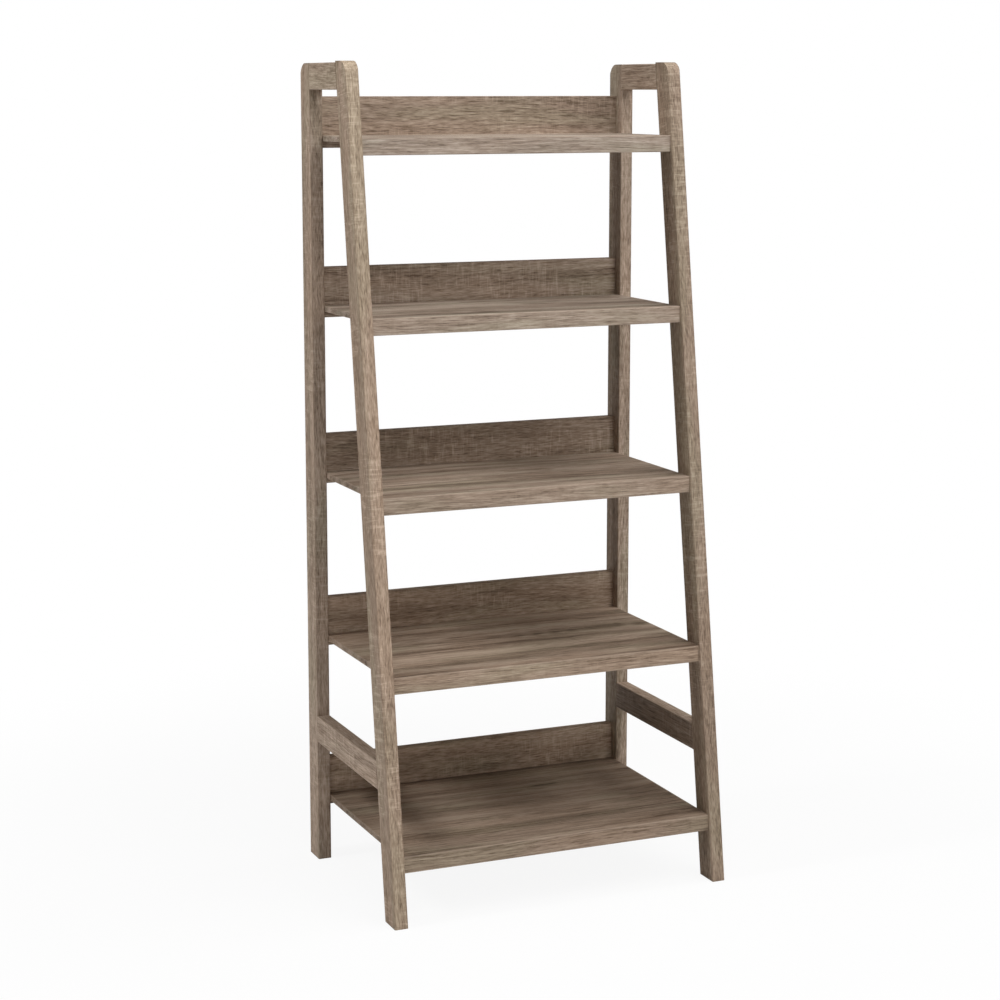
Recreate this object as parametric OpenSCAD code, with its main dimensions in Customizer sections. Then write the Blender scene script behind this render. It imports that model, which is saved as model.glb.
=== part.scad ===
// Open leaning-front bookcase: two side frames, each an upright rear post and a sloping front post,
// carry five shelves that grow deeper towards the floor. Every shelf is a thin board with a deeper
// front lip and a low back panel, held to the frames by hidden cam fittings and dowels.
// Origin: bottom centre of the whole case. +X right, -Y front, +Z up. Millimetres.

/* [Overall] */
// Height from the floor to the top of the front posts
case_height = 1524; // [1100:1:1900]
// Width over both side frames
case_width = 664; // [450:1:1000]
// Depth on the floor, front foot to rear face
floor_depth = 467; // [350:1:600]
// Depth across the top of a side frame
top_depth = 245; // [180:1:340]

/* [Side frames] */
// Thickness of the frame members, left to right
stock_thickness = 25.4; // [18:0.1:40]
// Depth of the posts, front to back
post_depth = 51; // [40:0.5:70]
// Radius of the outer top corner of each post
post_corner = 27; // [5:0.5:30]
// Radius of the eased long edges of posts, rails, lips and back panels
edge_radius = 2; // [0.5:0.5:4]
// How far the rear post and top rail sit below the front post's top
rear_drop = 2.5; // [0:0.5:8]
// Underside of the top rail, below the top of the case
rail_underside = 51; // [40:0.5:80]
// Underside of the side stretcher above the floor
stretcher_underside = 234.5; // [180:0.5:300]
// Height of the side stretcher
stretcher_height = 51; // [30:0.5:70]

/* [Shelves] */
// Top of the lowest shelf above the floor
first_shelf = 125; // [90:1:180]
// Distance from one shelf top to the next
shelf_pitch = 316; // [250:1:330]
// Thickness of the shelf boards
board_thickness = 10; // [9:0.5:18]
// Height of the front lips
lip_height = 31; // [28:0.5:60]
// Thickness of the front lips
lip_thickness = 16; // [15:0.5:22]
// How far a lip's top edge sits behind the front post's face
lip_setback = 4; // [1:0.5:12]

/* [Back panels] */
// Thickness of the back panels
panel_thickness = 18; // [15:0.5:22]
// Gap between a back panel and the rear face of the case
panel_inset = 13; // [2:0.5:14]
// Height of a back panel above its shelf
panel_above = 72; // [50:1:120]
// Depth of a back panel below its shelf's top
panel_below = 23; // [16:1:60]

/* [Fittings] */
// Diameter of the wooden dowels in the frames and panels
dowel_diameter = 8; // [6:0.5:10]
// Length of the wooden dowels in the frames and panels
dowel_length = 30; // [25:1:40]
// Diameter of the small dowels between board and back panel
small_dowel_diameter = 6; // [5:0.5:6]
// Length of the small dowels between board and back panel
small_dowel_length = 25; // [20:1:30]
// Diameter of the cam nuts
cam_diameter = 15; // [12:0.5:16]
// Height of the cam nuts
cam_height = 12; // [10:0.5:12.5]
// Distance from a cam nut's centre to the frame's inner face
cam_reach = 24; // [24:1:34]

/* [Hidden] */
$fn = 64;

shelf_count = 5;
side_left = -1;
side_right = 1;

front_y = -floor_depth / 2;
rear_y = floor_depth / 2;
inner_x = case_width / 2 - stock_thickness;
rail_top = case_height - rear_drop;
rail_bottom = case_height - rail_underside;
slope = (floor_depth - top_depth) / case_height;
lean = atan(slope);
post_back_y = rear_y - post_depth;
panel_back_y = rear_y - panel_inset;
panel_front_y = panel_back_y - panel_thickness;
frame_middle_x = inner_x + stock_thickness / 2;

// Play around a fitting in its hole, on the diameter, and at the bottom of the hole
hole_play = 0.2;
hole_end_play = 0.5;
dowel_chamfer = 1;
rail_dowel_offset = 12;
panel_dowel_drop = 24;
panel_bolt_rise = 16;
small_dowel_embed = 11;
small_dowel_spread = 220;

bolt_thread_diameter = 6;
bolt_thread_length = 11;
bolt_shank_diameter = 7;
bolt_shank_length = 14;
bolt_neck_diameter = 4;
bolt_head_diameter = 6.5;
bolt_head_length = 3;
bolt_bore = 8;
cam_slot = 5;
cam_cavity = 7.6;
cam_cavity_length = 9;
cam_cross_length = 8;
cam_cross_width = 1.6;
cam_cross_depth = 2.5;

rear_post_tone = [0.47, 0.42, 0.36];
front_post_tone = [0.55, 0.50, 0.43];
rail_tone = [0.50, 0.45, 0.38];
stretcher_tone = [0.44, 0.38, 0.32];
board_tone = [0.48, 0.42, 0.36];
lip_tone = [0.58, 0.52, 0.45];
panel_tone = [0.46, 0.40, 0.34];
dowel_tone = [0.80, 0.68, 0.48];
bolt_tone = [0.70, 0.70, 0.72];
cam_tone = [0.62, 0.62, 0.60];

function shelf_top(k) = first_shelf + shelf_pitch * (k - 1);
function post_front_y(z) = front_y + slope * z;
function post_inside_y(z) = post_front_y(z) + post_depth;
function lip_front_y(k) = post_front_y(shelf_top(k)) + lip_setback;
function lip_bolt_z(k) = shelf_top(k) - (board_thickness + lip_height) / 2;
function lip_bolt_y(k) = lip_front_y(k) + lip_thickness / 2;
function panel_middle_z(k) = shelf_top(k) + (panel_above - panel_below) / 2;
function panel_middle_y() = (panel_front_y + panel_back_y) / 2;
function rail_middle_z() = (rail_bottom + rail_top) / 2;
function stretcher_middle_z() = stretcher_underside + stretcher_height / 2;
function board_middle_z(k) = shelf_top(k) - board_thickness / 2;

// Extrudes an outline drawn in depth and height along the width, centred on a place across it
module across(width, at = 0) {
    translate([at - width / 2, 0, 0])
        rotate([90, 0, 90])
            linear_extrude(width)
                children();
}

// What easing takes off an outline's corner; the signs in `into` point from the corner into the wood
module eased_off(corner, into) {
    side = edge_radius + 1;
    difference() {
        translate([for (i = [0, 1]) corner[i] - (into[i] > 0 ? 1 : edge_radius)]) square(side);
        translate(corner + edge_radius * into) circle(edge_radius);
    }
}

// Cross-section of a bar with eased edges, centred
module eased_section(width, depth) {
    difference() {
        square([width, depth], center = true);
        for (i = [-1, 1], j = [-1, 1]) eased_off([i * width / 2, j * depth / 2], [-i, -j]);
    }
}

// Puts one side frame's member at its place, left or right
module frame_member(side) {
    across(stock_thickness, side * frame_middle_x) children();
}

// Wooden dowel along +X, centred, its ends chamfered
module dowel(diameter, length) {
    r = diameter / 2;
    tip = length / 2;
    rotate([0, 90, 0])
        rotate_extrude()
            polygon([
                [0, -tip], [r - dowel_chamfer, -tip], [r, dowel_chamfer - tip],
                [r, tip - dowel_chamfer], [r - dowel_chamfer, tip], [0, tip]
            ]);
}

// Round bore along +X, centred
module bore(diameter, length) {
    rotate([0, 90, 0]) cylinder(d = diameter + hole_play, h = length + 2 * hole_end_play, center = true);
}

// Cam bolt along +X: the thread lies below zero, the head is caught in the cam nut at cam_reach
module cam_bolt() {
    neck_end = cam_reach + hole_end_play;
    rotate([0, 90, 0]) {
        translate([0, 0, -bolt_thread_length]) cylinder(d = bolt_thread_diameter, h = bolt_thread_length);
        cylinder(d = bolt_shank_diameter, h = bolt_shank_length);
        translate([0, 0, bolt_shank_length])
            cylinder(d = bolt_neck_diameter, h = neck_end - bolt_shank_length);
        translate([0, 0, neck_end]) cylinder(d = bolt_head_diameter, h = bolt_head_length);
    }
}

// Cam nut, centred on the bolt's axis: driver cross towards +Y, slot towards -X, open underneath
module cam_nut(face_distance) {
    difference() {
        translate([0, face_distance, 0]) rotate([90, 0, 0]) cylinder(d = cam_diameter, h = cam_height);
        translate([-cam_cavity_length / 2, -cam_height, -cam_cavity / 2])
            cube([cam_cavity_length, cam_height + cam_cavity / 2, cam_cavity]);
        translate([-cam_diameter, -cam_height, -cam_slot / 2])
            cube([cam_diameter, cam_height + cam_cavity / 2, cam_slot]);
        translate([-cam_cross_length / 2, face_distance - cam_cross_depth, -cam_cross_width / 2])
            cube([cam_cross_length, 2 * cam_cross_depth, cam_cross_width]);
        translate([-cam_cross_width / 2, face_distance - cam_cross_depth, -cam_cross_length / 2])
            cube([cam_cross_width, 2 * cam_cross_depth, cam_cross_length]);
    }
}

// Pocket for a cam nut, open towards +Y, and the bore that brings the bolt to it from -X
module cam_pocket(face_distance) {
    translate([0, face_distance + cam_height, 0])
        rotate([90, 0, 0])
            cylinder(d = cam_diameter + hole_play, h = 2 * cam_height + hole_end_play);
    rotate([0, -90, 0]) cylinder(d = bolt_bore, h = 2 * cam_reach);
}

// Faces the work towards the left frame or the right one; its zero is the frame's inner face
module at_side(side) {
    if (side == side_left) translate([-inner_x, 0, 0]) children();
    if (side == side_right) mirror([1, 0, 0]) translate([-inner_x, 0, 0]) children();
}

module each_side() {
    for (side = [side_left, side_right]) at_side(side) children();
}

// Places along one side frame: the two ends of the top rail and of the side stretcher
module rear_rail_dowel_places() {
    for (z = [rail_middle_z(), stretcher_middle_z()])
        for (offset = [-rail_dowel_offset, rail_dowel_offset])
            translate([-stock_thickness / 2, post_back_y, z + offset]) rotate([0, 0, 90]) children();
}

module front_rail_dowel_places() {
    for (z = [rail_middle_z(), stretcher_middle_z()])
        for (offset = [-rail_dowel_offset, rail_dowel_offset])
            translate([-stock_thickness / 2, post_inside_y(z + offset), z + offset])
                rotate([0, 0, 90]) children();
}

module lip_bolt_place(k) {
    translate([0, lip_bolt_y(k), lip_bolt_z(k)]) children();
}

module panel_bolt_place(k) {
    translate([0, panel_middle_y(), panel_middle_z(k) + panel_bolt_rise]) children();
}

module panel_dowel_place(k) {
    translate([0, panel_middle_y(), panel_middle_z(k) - panel_dowel_drop]) children();
}

module small_dowel_places(k) {
    for (x = [-small_dowel_spread, 0, small_dowel_spread])
        translate([x, panel_front_y + small_dowel_embed - small_dowel_length / 2, board_middle_z(k)])
            rotate([0, 0, 90]) children();
}

// Rear post: upright, its rear top corner rounded
module rear_post_outline() {
    union() {
        polygon([
            [post_back_y, 0], [rear_y, 0], [rear_y, rail_top - post_corner],
            [rear_y - post_corner, rail_top - post_corner],
            [rear_y - post_corner, rail_top], [post_back_y, rail_top]
        ]);
        translate([rear_y - post_corner, rail_top - post_corner]) circle(post_corner);
    }
}

// Front post: leans back, cut level at both ends, its front top corner rounded
module front_post_outline() {
    centre_z = case_height - post_corner;
    centre_y = post_front_y(centre_z) + post_corner / cos(lean);
    union() {
        polygon([
            [post_front_y(0), 0], [post_inside_y(0), 0],
            [post_inside_y(case_height), case_height], [centre_y, case_height],
            [centre_y, centre_z],
            [centre_y - post_corner * cos(lean), centre_z + post_corner * sin(lean)]
        ]);
        translate([centre_y, centre_z]) circle(post_corner);
    }
}

// Rail between the posts: square at the rear, cut to the lean at the front
module rail_outline(bottom, top) {
    polygon([
        [post_inside_y(bottom), bottom], [post_back_y, bottom],
        [post_back_y, top], [post_inside_y(top), top]
    ]);
}

// The two bars below are longer than the posts, which their outlines cut to length
module rear_post_bar(side) {
    translate([side * frame_middle_x, rear_y - post_depth / 2, -post_depth])
        linear_extrude(case_height + 2 * post_depth)
            eased_section(stock_thickness, post_depth);
}

module front_post_bar(side) {
    translate([side * frame_middle_x, post_front_y(0) + post_depth / 2, 0])
        rotate([-lean, 0, 0])
            translate([0, 0, -post_depth])
                linear_extrude(case_height + 2 * post_depth)
                    eased_section(stock_thickness, post_depth * cos(lean));
}

// A rail or stretcher with eased long edges, cut to fit between the posts
module eased_rail(side, bottom, top) {
    intersection() {
        frame_member(side) rail_outline(bottom, top);
        translate([side * frame_middle_x, front_y, (bottom + top) / 2])
            rotate([-90, 0, 0])
                linear_extrude(floor_depth)
                    eased_section(stock_thickness, top - bottom);
    }
}

module rear_post(side) {
    color(rear_post_tone)
        difference() {
            intersection() {
                frame_member(side) rear_post_outline();
                rear_post_bar(side);
            }
            at_side(side) rear_rail_dowel_places() bore(dowel_diameter, dowel_length);
            for (k = [1 : shelf_count]) {
                at_side(side) panel_dowel_place(k) bore(dowel_diameter, dowel_length);
                at_side(side) panel_bolt_place(k) bore(bolt_thread_diameter, 2 * bolt_thread_length);
            }
        }
}

module front_post(side) {
    color(front_post_tone)
        difference() {
            intersection() {
                frame_member(side) front_post_outline();
                front_post_bar(side);
            }
            at_side(side) front_rail_dowel_places() bore(dowel_diameter, dowel_length);
            for (k = [1 : shelf_count])
                at_side(side) lip_bolt_place(k) bore(bolt_thread_diameter, 2 * bolt_thread_length);
        }
}

module top_rail(side) {
    color(rail_tone)
        difference() {
            eased_rail(side, rail_bottom, rail_top);
            at_side(side) rear_rail_dowel_places() bore(dowel_diameter, dowel_length);
            at_side(side) front_rail_dowel_places() bore(dowel_diameter, dowel_length);
        }
}

module side_stretcher(side) {
    color(stretcher_tone)
        difference() {
            eased_rail(side, stretcher_underside, stretcher_underside + stretcher_height);
            at_side(side) rear_rail_dowel_places() bore(dowel_diameter, dowel_length);
            at_side(side) front_rail_dowel_places() bore(dowel_diameter, dowel_length);
        }
}

// Shelf board: its front edge is mitred into the lip, its rear edge meets the back panel
module shelf_board(k) {
    front = lip_front_y(k);
    top = shelf_top(k);
    color(board_tone)
        difference() {
            across(2 * inner_x)
                difference() {
                    polygon([
                        [front, top], [front + board_thickness, top - board_thickness],
                        [panel_front_y, top - board_thickness], [panel_front_y, top]
                    ]);
                    eased_off([front, top], [1, -1]);
                }
            small_dowel_places(k) bore(small_dowel_diameter, small_dowel_length);
        }
}

// Lip: mitred at its top arris, with a ledge behind that carries the board
module shelf_lip(k) {
    front = lip_front_y(k);
    back = front + lip_thickness;
    top = shelf_top(k);
    underside = top - lip_height;
    color(lip_tone)
        difference() {
            across(2 * inner_x)
                difference() {
                    polygon([
                        [front, top], [front, underside], [back, underside],
                        [back, top - board_thickness], [front + board_thickness, top - board_thickness]
                    ]);
                    eased_off([front, top], [1, -1]);
                    eased_off([front, underside], [1, 1]);
                    eased_off([back, underside], [-1, 1]);
                }
            each_side()
                lip_bolt_place(k)
                    translate([cam_reach, 0, 0]) cam_pocket(lip_thickness / 2);
        }
}

module back_panel(k) {
    color(panel_tone)
        difference() {
            across(2 * inner_x)
                translate([panel_middle_y(), panel_middle_z(k)])
                    eased_section(panel_thickness, panel_above + panel_below);
            each_side()
                panel_bolt_place(k)
                    translate([cam_reach, 0, 0]) cam_pocket(panel_thickness / 2);
            each_side() panel_dowel_place(k) bore(dowel_diameter, dowel_length);
            small_dowel_places(k) bore(small_dowel_diameter, small_dowel_length);
        }
}

module frame_dowels() {
    color(dowel_tone)
        each_side() {
            rear_rail_dowel_places() dowel(dowel_diameter, dowel_length);
            front_rail_dowel_places() dowel(dowel_diameter, dowel_length);
        }
}

module panel_dowels() {
    color(dowel_tone)
        for (k = [1 : shelf_count])
            each_side() panel_dowel_place(k) dowel(dowel_diameter, dowel_length);
}

module shelf_dowels() {
    color(dowel_tone)
        for (k = [1 : shelf_count])
            small_dowel_places(k) dowel(small_dowel_diameter, small_dowel_length);
}

module lip_cam_bolts() {
    color(bolt_tone)
        for (k = [1 : shelf_count])
            each_side() lip_bolt_place(k) cam_bolt();
}

module panel_cam_bolts() {
    color(bolt_tone)
        for (k = [1 : shelf_count])
            each_side() panel_bolt_place(k) cam_bolt();
}

module lip_cam_nuts() {
    color(cam_tone)
        for (k = [1 : shelf_count])
            each_side()
                lip_bolt_place(k)
                    translate([cam_reach, 0, 0]) cam_nut(lip_thickness / 2);
}

module panel_cam_nuts() {
    color(cam_tone)
        for (k = [1 : shelf_count])
            each_side()
                panel_bolt_place(k)
                    translate([cam_reach, 0, 0]) cam_nut(panel_thickness / 2);
}

rear_post(side_left);  // left_rear_post
front_post(side_left);  // left_front_post
top_rail(side_left);  // left_top_rail
side_stretcher(side_left);  // left_side_stretcher
rear_post(side_right);  // right_rear_post
front_post(side_right);  // right_front_post
top_rail(side_right);  // right_top_rail
side_stretcher(side_right);  // right_side_stretcher
for (k = [1 : shelf_count]) {
    shelf_board(k);
    shelf_lip(k);
    back_panel(k);
}
frame_dowels();
panel_dowels();
shelf_dowels();
lip_cam_bolts();
panel_cam_bolts();
lip_cam_nuts();
panel_cam_nuts();
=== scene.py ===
"""Ladder bookcase in weathered grey-brown wood: materials, floor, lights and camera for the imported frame.

Every shape comes from the CAD; this script adds no piece to it and changes none.
"""
import math

import bpy
from mathutils import Euler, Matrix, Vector


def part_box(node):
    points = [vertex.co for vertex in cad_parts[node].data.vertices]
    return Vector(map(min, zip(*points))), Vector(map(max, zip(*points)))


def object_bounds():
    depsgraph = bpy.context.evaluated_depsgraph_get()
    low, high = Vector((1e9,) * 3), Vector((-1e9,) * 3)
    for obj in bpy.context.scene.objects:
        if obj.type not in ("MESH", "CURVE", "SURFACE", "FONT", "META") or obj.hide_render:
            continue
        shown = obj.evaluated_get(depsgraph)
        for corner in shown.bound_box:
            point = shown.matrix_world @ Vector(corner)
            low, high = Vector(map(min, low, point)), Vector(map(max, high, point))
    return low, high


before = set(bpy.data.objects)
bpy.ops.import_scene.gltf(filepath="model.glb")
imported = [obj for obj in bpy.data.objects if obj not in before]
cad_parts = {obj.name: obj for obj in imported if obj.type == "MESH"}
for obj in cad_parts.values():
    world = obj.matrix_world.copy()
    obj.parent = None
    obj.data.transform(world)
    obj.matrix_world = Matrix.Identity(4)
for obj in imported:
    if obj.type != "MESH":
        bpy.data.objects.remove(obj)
cad_low, cad_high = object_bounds()

# Horizontal depth of a post, in metres
POST_DEPTH = 0.051

SHELVES = range(1, 6)
SIDES = ("left", "right")
# The axis that a piece's grain runs along
GRAIN_X, GRAIN_Y, GRAIN_Z = 0, 1, 2

# Wood tones, linear
DARK = (0.150, 0.104, 0.072, 1)
BROWN = (0.245, 0.179, 0.130, 1)
MIDDLE = (0.332, 0.250, 0.188, 1)
LIGHT = (0.412, 0.318, 0.246, 1)
PALE = (0.520, 0.415, 0.330, 1)
OLIVE = (0.965, 1.012, 0.980, 1)
ROSE = (1.015, 0.995, 0.980, 1)
NEUTRAL = (1.0, 1.0, 1.0, 1)
# Painted shade along the arrises of posts and panels, together with wear
ARRIS_WEAR_AND_SHADE_BROWN = (0.185, 0.128, 0.086, 1)
BEECH_DARK = (0.46, 0.31, 0.17, 1)
BEECH_LIGHT = (0.66, 0.49, 0.30, 1)
TONE_STOPS = ((0.08, DARK), (0.30, BROWN), (0.50, MIDDLE), (0.70, LIGHT), (0.95, PALE))
CAST_STOPS = ((0.36, OLIVE), (0.50, NEUTRAL), (0.64, ROSE))

# Noise rates of the wood's layers per metre, along the grain and across it; beech has x, y and z
DRIFT_RATES = (2.2, 8.0)
BAND_RATES = (1.5, 26.0)
STREAK_RATES = (6.0, 170.0)
LINE_RATE_ACROSS = 430.0
FIBRE_RATES = (110.0, 1200.0)
PORE_RATES = (45.0, 520.0)
FLAME_RATES = (1.3, 15.0)
FLAME_PATCH_RATES = (5.5, 9.0)
FINE_MARK_RATES = (330.0, 38.0)
WIDE_MARK_RATES = (95.0, 13.0)
MARK_PATCH_RATES = (6.0, 12.0)
DARK_PATCH_RATES = (8.0, 48.0)
CAST_RATES = (3.5, 20.0)
RAGGED_RATES = (30.0, 90.0)
BEECH_RATES = (160.0, 160.0, 900.0)

# The noise levels at which a layer starts to show and shows fully
PORE_RANGE = (0.57, 0.68)
FLAME_PATCH_RANGE = (0.45, 0.62)
FINE_MARK_RANGE = (0.53, 0.66)
WIDE_MARK_RANGE = (0.54, 0.64)
MARK_PATCH_RANGE = (0.44, 0.58)
DARK_PATCH_RANGE = (0.60, 0.74)

# How far the grain wanders sideways, in metres, and how closely the flame's lines lie
GRAIN_WANDER = 0.030
FLAME_CLOSENESS = 150.0

# Where the wood's tone starts, and how much each layer lightens it, or darkens it if negative
BASE_VALUE = 0.53
STREAK_STRENGTH = 0.85
LINE_STRENGTH = 1.45
FIBRE_STRENGTH = 0.50
FLAME_STRENGTH = 0.10
PORE_STRENGTH = -0.22
MARK_STRENGTH = 0.22
WIDE_MARK_SHARE = 0.8
DARK_PATCH_STRENGTH = -0.40

# Gloss: the wood's specular level and roughness, and what pale streaks, pores and wear add to roughness
WOOD_SPECULAR = 0.30
WOOD_ROUGHNESS = 0.78
STREAK_ROUGHNESS = -0.20
PORE_ROUGHNESS = 0.10
WEAR_ROUGHNESS = -0.06

# Relief: how much each layer raises the surface, and the bump's depth in metres and its strength
FIBRE_RELIEF = 0.40
LINE_RELIEF = 0.60
PORE_RELIEF = -0.50
MARK_RELIEF = 0.35
RELIEF_DEPTH = 0.0005
RELIEF_STRENGTH = 0.35

# How much a warmth of 1 raises red and lowers blue
WARM_RED, WARM_BLUE = 0.06, 0.07

# Depths below a side face, in metres, between which the painted light and shade on that face gives way to
# the piece's tone
SIDE_SHADING_FULL, SIDE_SHADING_END = 0.0002, 0.0015
# Distances from an arris, in metres, between which the band of wear and painted light fades, and how much
# noise shifts them
ARRIS_BAND_FULL, ARRIS_BAND_END = 0.0008, 0.0030
ARRIS_BAND_RAGGEDNESS = 0.004

# What sets each kind of piece apart: see wood()
FRONT_POST_LOOK = dict(warmth=0.5, saw=1.1, flame=0.3, knots=0.25, arris_wear_and_shading=ARRIS_WEAR_AND_SHADE_BROWN, arris_wear_and_shading_share=0.25)
REAR_POST_LOOK = dict(banding=0.9, saw=0.7, flame=1.1, knots=0.4, arris_wear_and_shading=ARRIS_WEAR_AND_SHADE_BROWN, arris_wear_and_shading_share=0.45)
RAIL_LOOK = dict(dash_rate=22.0, saw=0.8, knots=0.2)
BOARD_LOOK = dict(banding=1.9, dash_rate=16.0, saw=0.15, flame=1.5, knots=0.9)
LIP_LOOK = dict(banding=0.5, dash_rate=20.0, saw=0.15, flame=0.3, knots=0.15)
PANEL_LOOK = dict(banding=1.0, dash_rate=45.0, saw=0.9, flame=0.8, knots=0.9, arris_wear_and_shading=ARRIS_WEAR_AND_SHADE_BROWN)

# A piece's seed, times this step in metres, is where its stretch of the endless wood lies
SEED_STEP = (3.17, 5.31, 7.73)
FRONT_POST_SEEDS = (11, 12)
REAR_POST_SEEDS = (21, 22)
RAIL_SEEDS = (31, 32)
STRETCHER_SEEDS = (41, 42)
BOARD_SEEDS = tuple(50 + 1.3 * shelf for shelf in SHELVES)
LIP_SEEDS = tuple(60 + 1.7 * shelf for shelf in SHELVES)
PANEL_SEEDS = tuple(70 + 2.1 * shelf for shelf in SHELVES)

# How light each piece is against the mean: left and right, then from the floor up
FRONT_POST_TONES = (1.13, 0.90)
REAR_POST_TONES = (0.94, 1.18)
RAIL_TONES = (1.05, 1.05)
STRETCHER_TONES = (0.86, 1.12)
BOARD_TONES = (0.67, 0.81, 0.87, 0.89, 1.18)
LIP_TONES = (0.79, 1.00, 1.03, 1.14, 1.13)
PANEL_TONES = (1.02, 1.03, 1.05, 1.04, 0.98)

# Painted light and shade: how light the side faces of the left and the right piece are painted against the
# rest of that piece, standing in for the light and shade falling on them
FRONT_POST_SIDE_SHADING = (0.93, 0.94)
REAR_POST_SIDE_SHADING = (1.36, 0.74)
RAIL_SIDE_SHADING = (1.18, 1.0)
STRETCHER_SIDE_SHADING = (1.44, 0.62)

# How much redder each shelf's pieces are, from the floor up; less than 0 is greyer
SHELF_WARMTHS = (0.7, 0.6, 0.1, -0.4, -0.8)


# ---------------------------------------------------------------- node helpers
class Tree:
    """A material's node tree, with a short way to make each kind of node this scene uses."""

    def __init__(self, name):
        self.material = bpy.data.materials.new(name)
        self.material.use_nodes = True
        self.nodes = self.material.node_tree.nodes
        self.links = self.material.node_tree.links
        self.shader = self.nodes["Principled BSDF"]

    def feed(self, socket, value):
        if isinstance(value, bpy.types.NodeSocket):
            self.links.new(value, socket)
        else:
            socket.default_value = value

    def calc(self, operation, *values, clamp=False):
        node = self.nodes.new("ShaderNodeMath")
        node.operation, node.use_clamp = operation, clamp
        for socket, value in zip(node.inputs, values):
            self.feed(socket, value)
        return node.outputs[0]

    def vector(self, operation, *values):
        node = self.nodes.new("ShaderNodeVectorMath")
        node.operation = operation
        for socket, value in zip(node.inputs, values):
            self.feed(socket, value)
        return node.outputs["Value" if operation == "LENGTH" else "Vector"]

    def remap(self, value, low, high, new_low=0.0, new_high=1.0, smooth=False):
        node = self.nodes.new("ShaderNodeMapRange")
        node.interpolation_type = "SMOOTHSTEP" if smooth else "LINEAR"
        for socket, number in zip(node.inputs, (value, low, high, new_low, new_high)):
            self.feed(socket, number)
        return node.outputs[0]

    def noise(self, vector, detail=3.0, roughness=0.55, distortion=0.0, colour=False):
        node = self.nodes.new("ShaderNodeTexNoise")
        self.feed(node.inputs["Vector"], vector)
        node.inputs["Scale"].default_value = 1.0
        node.inputs["Detail"].default_value = detail
        node.inputs["Roughness"].default_value = roughness
        node.inputs["Distortion"].default_value = distortion
        return node.outputs["Color" if colour else "Fac"]

    def ramp(self, value, stops):
        node = self.nodes.new("ShaderNodeValToRGB")
        elements = node.color_ramp.elements
        while len(elements) < len(stops):
            elements.new(0.5)
        for element, (place, colour) in zip(elements, stops):
            element.position, element.color = place, colour
        self.feed(node.inputs[0], value)
        return node.outputs[0]

    def mix(self, factor, first, second, blend="MIX"):
        node = self.nodes.new("ShaderNodeMix")
        node.data_type, node.blend_type = "RGBA", blend
        self.feed(node.inputs["Factor"], factor)
        self.feed(node.inputs["A"], first)
        self.feed(node.inputs["B"], second)
        return node.outputs["Result"]

    def split(self, vector):
        node = self.nodes.new("ShaderNodeSeparateXYZ")
        self.feed(node.inputs[0], vector)
        return node.outputs

    def bump(self, height, distance, strength):
        node = self.nodes.new("ShaderNodeBump")
        node.inputs["Strength"].default_value = strength
        node.inputs["Distance"].default_value = distance
        self.feed(node.inputs["Height"], height)
        return node.outputs[0]

    def local(self, centre, lean=0.0):
        """Object coordinates moved to the piece's centre and turned upright, in metres."""
        place = self.nodes.new("ShaderNodeTexCoord").outputs["Object"]
        node = self.nodes.new("ShaderNodeMapping")
        node.vector_type = "TEXTURE"
        node.inputs["Location"].default_value = centre
        node.inputs["Rotation"].default_value = (lean, 0.0, 0.0)
        self.links.new(place, node.inputs["Vector"])
        return node.outputs[0]


def along(grain, length_rate, width_rate):
    """A vector of noise rates per metre: slow along the grain, fast across it."""
    rates = [width_rate] * 3
    rates[grain] = length_rate
    return tuple(rates)


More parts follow.
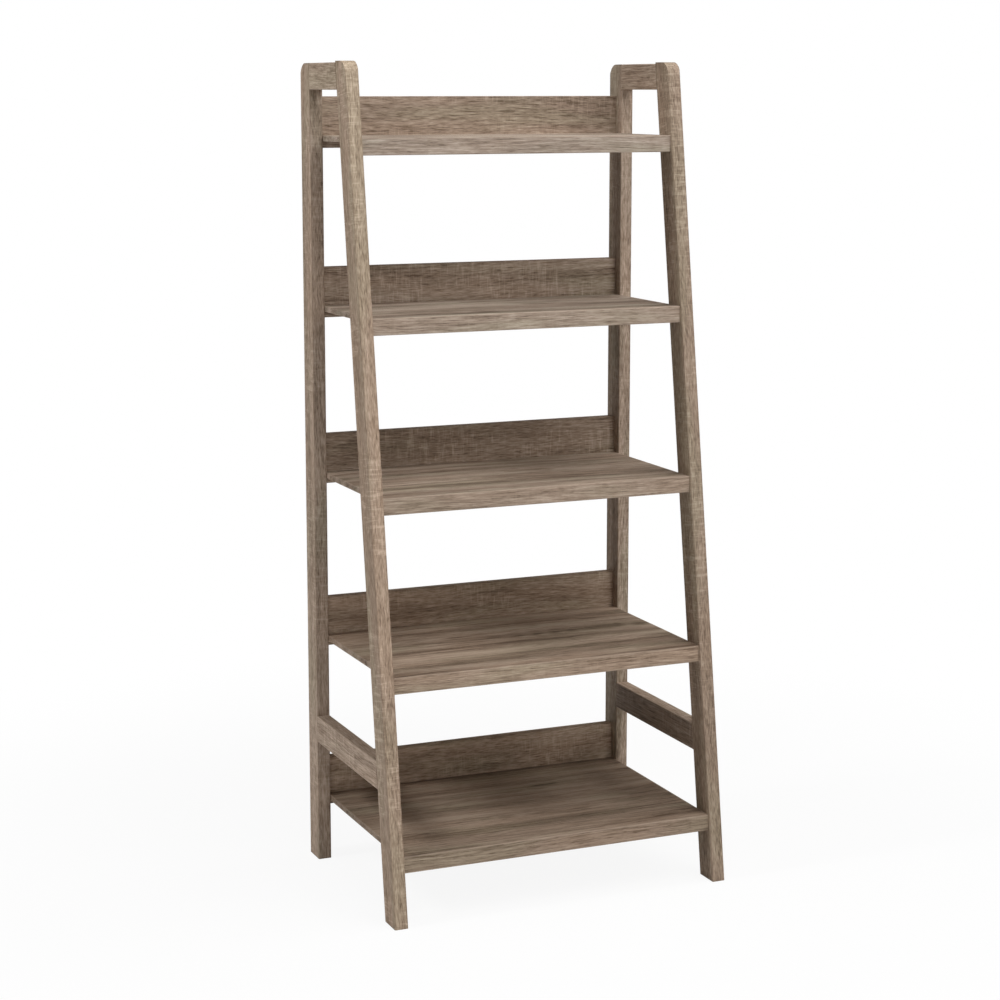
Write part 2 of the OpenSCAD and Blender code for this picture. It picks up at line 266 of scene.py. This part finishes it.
# ---------------------------------------------------------------- materials
def wood(name, centre, half, grain, seed, lean=0.0, tone=1.0, flank=1.0, warmth=0.0, banding=0.5,
         dash_rate=65.0, saw=0.4, flame=0.5, knots=0.5, arris_wear_and_shading=LIGHT, arris_wear_and_shading_share=0.35):
    """Weathered oak: bands, streaks, fibres, flame figure, pores, saw marks, dark patches, and worn arrises
    carrying painted highlights (pale) and painted shade (brown).

    tone lightens the whole piece, and flank paints light and shade onto its left and right faces; warmth
    turns it redder.
    banding, saw, flame and knots are the strengths of their layers, and a lower dash_rate draws longer
    dashes.
    arris_wear_and_shading is the arrises' colour, wear plus a painted highlight when pale and painted shade
    when brown, and arris_wear_and_shading_share how much of it shows.
    """
    t = Tree(name)
    place = t.local(centre, lean)
    shifted = t.vector("ADD", place, tuple(step * seed for step in SEED_STEP))

    def layer(rates, **options):
        return t.noise(t.vector("MULTIPLY", shifted, along(grain, *rates)), **options)

    def add(value, fac, strength):
        return t.calc("MULTIPLY_ADD", t.calc("SUBTRACT", fac, 0.5), strength, value)

    # The grain wanders slowly across the piece
    drift = t.vector("SUBTRACT", layer(DRIFT_RATES, detail=1.0, colour=True), (0.5, 0.5, 0.5))
    shifted = t.vector("ADD", shifted, t.vector("MULTIPLY", drift, along(grain, 0.0, GRAIN_WANDER)))

    bands = layer(BAND_RATES, detail=2.0)
    streaks = layer(STREAK_RATES, detail=4.0, roughness=0.70)
    lines = layer((dash_rate, LINE_RATE_ACROSS), detail=2.0, roughness=0.60)
    fibres = layer(FIBRE_RATES, detail=2.0)
    pores = t.remap(layer(PORE_RATES, detail=2.0), *PORE_RANGE, smooth=True)

    # Flame figure: level lines of a long soft noise, in patches
    contour = t.calc("SINE", t.calc("MULTIPLY", layer(FLAME_RATES, detail=1.0), FLAME_CLOSENESS))
    flame_patches = t.remap(layer(FLAME_PATCH_RATES, detail=1.0), *FLAME_PATCH_RANGE, smooth=True)
    figure = t.calc("MULTIPLY", contour, flame_patches)

    # Saw marks: pale lines across the grain, fine ones and wide ones, in patches
    fine_marks = t.remap(layer(FINE_MARK_RATES, detail=2.0), *FINE_MARK_RANGE, smooth=True)
    wide_marks = t.remap(layer(WIDE_MARK_RATES, detail=2.0), *WIDE_MARK_RANGE, smooth=True)
    mark_patches = t.remap(layer(MARK_PATCH_RATES, detail=1.0), *MARK_PATCH_RANGE, smooth=True)
    marks = t.calc("MULTIPLY_ADD", wide_marks, WIDE_MARK_SHARE, fine_marks)
    marks = t.calc("MULTIPLY", marks, mark_patches)

    # Dark patches with ragged ends, the deepest of them like small knots
    blotches = layer(DARK_PATCH_RATES, detail=3.0, roughness=0.6, distortion=0.4)
    dark_patches = t.remap(blotches, *DARK_PATCH_RANGE, smooth=True)

    value = add(BASE_VALUE, bands, banding)
    value = add(value, streaks, STREAK_STRENGTH)
    value = add(value, lines, LINE_STRENGTH)
    value = add(value, fibres, FIBRE_STRENGTH)
    value = t.calc("MULTIPLY_ADD", figure, FLAME_STRENGTH * flame, value)
    value = t.calc("MULTIPLY_ADD", pores, PORE_STRENGTH, value)
    value = t.calc("MULTIPLY_ADD", marks, MARK_STRENGTH * saw, value)
    value = t.calc("MULTIPLY_ADD", dark_patches, DARK_PATCH_STRENGTH * knots, value)
    colour = t.ramp(value, TONE_STOPS)

    # Slow drift between an olive and a rosy cast
    colour = t.mix(1.0, colour, t.ramp(layer(CAST_RATES, detail=1.0), CAST_STOPS), "MULTIPLY")
    if warmth:
        warm = (1.0 + WARM_RED * warmth, 1.0, 1.0 - WARM_BLUE * warmth, 1)
        colour = t.mix(1.0, colour, warm, "MULTIPLY")

    # How far a point is from the left or right, the front or back, and the top or bottom of the piece
    gaps = t.split(t.vector("SUBTRACT", tuple(half), t.vector("ABSOLUTE", place)))
    # Painted light and shade: the left and right faces take the piece's tone times the painted side factor
    level = t.remap(gaps[0], SIDE_SHADING_FULL, SIDE_SHADING_END, tone * flank, tone, smooth=True)
    colour = t.mix(1.0, colour, level, "MULTIPLY")

    # Arrises, worn and painted, pale ones as painted highlights and brown ones as painted shade: the middle
    # one of the three gaps is how far a point on a face is from the next face
    nearest = t.calc("MINIMUM", gaps[0], gaps[1])
    further = t.calc("MAXIMUM", gaps[0], gaps[1])
    edge_gap = t.calc("MAXIMUM", nearest, t.calc("MINIMUM", further, gaps[2]))
    ragged = add(edge_gap, layer(RAGGED_RATES, detail=2.0), ARRIS_BAND_RAGGEDNESS)
    arris_mask = t.remap(ragged, ARRIS_BAND_FULL, ARRIS_BAND_END, 1.0, 0.0, smooth=True)
    # Painted light on the arrises: pale ones stand in for a highlight and brown ones for shade, over real
    # wear
    colour = t.mix(t.calc("MULTIPLY", arris_mask, arris_wear_and_shading_share), colour, arris_wear_and_shading)
    t.feed(t.shader.inputs["Base Color"], colour)

    rough = t.calc("MULTIPLY_ADD", streaks, STREAK_ROUGHNESS, WOOD_ROUGHNESS)
    rough = t.calc("MULTIPLY_ADD", pores, PORE_ROUGHNESS, rough)
    rough = t.calc("MULTIPLY_ADD", arris_mask, WEAR_ROUGHNESS, rough, clamp=True)
    t.feed(t.shader.inputs["Roughness"], rough)
    t.shader.inputs["Specular IOR Level"].default_value = WOOD_SPECULAR

    height = t.calc("MULTIPLY_ADD", fibres, FIBRE_RELIEF, t.calc("MULTIPLY", lines, LINE_RELIEF))
    height = t.calc("MULTIPLY_ADD", pores, PORE_RELIEF, height)
    height = t.calc("MULTIPLY_ADD", marks, MARK_RELIEF * saw, height)
    t.feed(t.shader.inputs["Normal"], t.bump(height, RELIEF_DEPTH, RELIEF_STRENGTH))
    return t.material


def beech(name):
    """Plain pale dowel wood with faint flecks."""
    t = Tree(name)
    place = t.local((0.0, 0.0, 0.0))
    fine = t.noise(t.vector("MULTIPLY", place, BEECH_RATES), detail=3.0)
    colour = t.ramp(fine, ((0.30, BEECH_DARK), (0.70, BEECH_LIGHT)))
    t.feed(t.shader.inputs["Base Color"], colour)
    t.feed(t.shader.inputs["Roughness"], t.remap(fine, 0.3, 0.7, 0.75, 0.55))
    t.feed(t.shader.inputs["Normal"], t.bump(fine, 0.0003, 0.4))
    return t.material


def metal(name, dull, bright, rough_low, rough_high, mottle_rate):
    """Plated or cast metal with a mottled surface."""
    t = Tree(name)
    place = t.local((0.0, 0.0, 0.0))
    mottle = t.noise(t.vector("MULTIPLY", place, (mottle_rate,) * 3), detail=4.0, roughness=0.6)
    t.feed(t.shader.inputs["Base Color"], t.ramp(mottle, ((0.35, dull), (0.65, bright))))
    t.feed(t.shader.inputs["Roughness"], t.remap(mottle, 0.35, 0.65, rough_high, rough_low))
    t.feed(t.shader.inputs["Normal"], t.bump(mottle, 0.0002, 0.3))
    t.shader.inputs["Metallic"].default_value = 1.0
    return t.material


# ---------------------------------------------------------------- pieces
def dress(node, material):
    """Give every material slot of a CAD node's object this material."""
    for slot in bpy.data.objects[node].material_slots:
        slot.material = material


def middle_and_half(node):
    """The middle of a node's box, and half its size."""
    low, high = (Vector(corner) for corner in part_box(node))
    return (low + high) / 2, (high - low) / 2


def straight_piece(node, grain, seed, **options):
    """A piece whose box is its own shape, so that the box's faces and edges are the piece's."""
    centre, half = middle_and_half(node)
    dress(node, wood(f"wood_{node}", centre, half, grain, seed, **options))


def front_post(node, seed, **options):
    """The leaning post: its box is turned with it, so that its grain and arrises follow the lean."""
    centre, half = middle_and_half(node)
    rise = 2 * half.z
    run = 2 * half.y - POST_DEPTH
    lean = math.atan2(run, rise)
    upright = Vector((half.x, POST_DEPTH * math.cos(lean) / 2, math.hypot(rise, run) / 2))
    dress(node, wood(f"wood_{node}", centre, upright, GRAIN_Z, seed, lean=-lean, **options))


for number, side in enumerate(SIDES):
    front_post(f"{side}_front_post", FRONT_POST_SEEDS[number], tone=FRONT_POST_TONES[number],
               flank=FRONT_POST_SIDE_SHADING[number], **FRONT_POST_LOOK)
    straight_piece(f"{side}_rear_post", GRAIN_Z, REAR_POST_SEEDS[number], tone=REAR_POST_TONES[number],
                   flank=REAR_POST_SIDE_SHADING[number], **REAR_POST_LOOK)
    straight_piece(f"{side}_top_rail", GRAIN_Y, RAIL_SEEDS[number], tone=RAIL_TONES[number],
                   flank=RAIL_SIDE_SHADING[number], **RAIL_LOOK)
    straight_piece(f"{side}_side_stretcher", GRAIN_Y, STRETCHER_SEEDS[number], tone=STRETCHER_TONES[number],
                   flank=STRETCHER_SIDE_SHADING[number], **RAIL_LOOK)

for number, (shelf, warmth) in enumerate(zip(SHELVES, SHELF_WARMTHS)):
    straight_piece(f"shelf_board_{shelf}", GRAIN_X, BOARD_SEEDS[number], tone=BOARD_TONES[number],
                   warmth=warmth, **BOARD_LOOK)
    straight_piece(f"shelf_lip_{shelf}", GRAIN_X, LIP_SEEDS[number], tone=LIP_TONES[number],
                   warmth=warmth, **LIP_LOOK)
    straight_piece(f"back_panel_{shelf}", GRAIN_X, PANEL_SEEDS[number], tone=PANEL_TONES[number],
                   warmth=max(warmth, 0.0), **PANEL_LOOK)

dowel_material = beech("beech_dowels")
bolt_material = metal("zinc_plated_steel", dull=(0.46, 0.46, 0.47, 1), bright=(0.66, 0.66, 0.67, 1),
                      rough_low=0.22, rough_high=0.42, mottle_rate=900.0)
cam_material = metal("die_cast_zinc", dull=(0.30, 0.30, 0.30, 1), bright=(0.48, 0.48, 0.47, 1),
                     rough_low=0.38, rough_high=0.60, mottle_rate=600.0)
for node in ("frame_dowels", "panel_dowels", "shelf_dowels"):
    dress(node, dowel_material)
for node in ("lip_cam_bolts", "panel_cam_bolts"):
    dress(node, bolt_material)
for node in ("lip_cam_nuts", "panel_cam_nuts"):
    dress(node, cam_material)


# ---------------------------------------------------------------- stage
WHITE = (1, 1, 1, 1)
# Each lamp's name, place, width and height in metres, and power in watts; all face the case's middle
LAMPS = (
    ("front_overhead", (0.0, -2.0, 4.0), 2.6, 2.0, 56),
    ("right_overhead", (1.8, -0.5, 3.9), 3.2, 3.2, 80),
    ("front_right", (1.8, -3.4, 3.2), 2.2, 1.8, 31),
    ("high_left", (-3.0, 0.15, 3.6), 0.5, 1.0, 60),
    ("rear_left", (-3.0, 1.4, 3.2), 1.8, 1.8, 13),
    ("front_left", (-2.4, -3.2, 2.2), 1.6, 1.6, 10),
    ("front_low", (0.0, -4.6, 1.0), 2.5, 1.5, 18),
)


def make_floor(half_side, shadow_radius, white_radius, shadow_share):
    """A pale floor that takes a faint shadow near the case and runs out into the white surround."""
    mesh = bpy.data.meshes.new("floor")
    ends = (-half_side, half_side)
    mesh.from_pydata([(x, y, 0) for x in ends for y in ends], [], [(0, 2, 3, 1)])
    floor = bpy.data.objects.new("floor", mesh)
    bpy.context.collection.objects.link(floor)
    t = Tree("pale_floor")
    t.shader.inputs["Base Color"].default_value = (0.90, 0.90, 0.90, 1)
    t.shader.inputs["Roughness"].default_value = 0.9
    t.shader.inputs["Specular IOR Level"].default_value = 0.1
    place = t.nodes.new("ShaderNodeTexCoord").outputs["Object"]
    radius = t.vector("LENGTH", place)
    fade = t.remap(radius, shadow_radius, white_radius, 1.0 - shadow_share, 1.0, smooth=True)
    glow = t.nodes.new("ShaderNodeEmission")
    glow.inputs["Color"].default_value = WHITE
    seen = t.nodes.new("ShaderNodeLightPath").outputs["Is Camera Ray"]
    both = t.nodes.new("ShaderNodeMixShader")
    t.feed(both.inputs[0], t.calc("MULTIPLY", fade, seen))
    t.links.new(t.shader.outputs[0], both.inputs[1])
    t.links.new(glow.outputs[0], both.inputs[2])
    t.links.new(both.outputs[0], t.nodes["Material Output"].inputs["Surface"])
    mesh.materials.append(t.material)


def softbox(name, place, width, height, watts, target):
    """A soft rectangular lamp that faces the target."""
    light = bpy.data.lights.new(name, "AREA")
    light.shape = "RECTANGLE"
    light.size, light.size_y, light.energy = width, height, watts
    lamp = bpy.data.objects.new(name, light)
    lamp.location = place
    lamp.rotation_euler = (Vector(target) - Vector(place)).to_track_quat("-Z", "Y").to_euler()
    bpy.context.collection.objects.link(lamp)


def surround(strength):
    """A white surround that the camera sees as plain white and that lights the case only weakly."""
    world = bpy.data.worlds.new("studio")
    world.use_nodes = True
    bpy.context.scene.world = world
    nodes, links = world.node_tree.nodes, world.node_tree.links
    background = nodes["Background"]
    background.inputs["Color"].default_value = WHITE
    seen = nodes.new("ShaderNodeLightPath")
    level = nodes.new("ShaderNodeMapRange")
    level.inputs["To Min"].default_value = strength
    level.inputs["To Max"].default_value = 1.0
    links.new(seen.outputs["Is Camera Ray"], level.inputs["Value"])
    links.new(level.outputs[0], background.inputs["Strength"])


make_floor(half_side=14.0, shadow_radius=0.7, white_radius=1.8, shadow_share=0.09)
surround(strength=0.03)
for lamp_settings in LAMPS:
    softbox(*lamp_settings, target=(cad_low + cad_high) / 2)


# ---------------------------------------------------------------- camera
# Turned to the right of straight ahead and tilted down, in degrees
CAMERA_TURN = 23.316
CAMERA_TILT = -8.945
# From the case's axis back along the turned direction, to its right, and up from the floor, in metres
CAMERA_BACK = 4.2349
CAMERA_RIGHT = -0.0266
CAMERA_HEIGHT = 1.475
# In millimetres, and in widths of the picture
SENSOR_WIDTH = 36.0
LENS = 82.648
SHIFT_Y = -0.05


def make_camera():
    """At the front left, near the case's top, turned to look slightly down."""
    turn, tilt = math.radians(CAMERA_TURN), math.radians(CAMERA_TILT)
    view = bpy.data.cameras.new("camera")
    view.sensor_width = SENSOR_WIDTH
    view.lens = LENS
    view.shift_y = SHIFT_Y
    camera = bpy.data.objects.new("camera", view)
    ahead = Vector((math.sin(turn), math.cos(turn), 0.0))
    right = Vector((math.cos(turn), -math.sin(turn), 0.0))
    camera.location = right * CAMERA_RIGHT - ahead * CAMERA_BACK + Vector((0.0, 0.0, CAMERA_HEIGHT))
    camera.rotation_euler = Euler((math.radians(90) + tilt, 0.0, -turn), "XYZ")
    bpy.context.collection.objects.link(camera)
    bpy.context.scene.camera = camera


make_camera()
bpy.context.scene.view_settings.view_transform = "Standard"
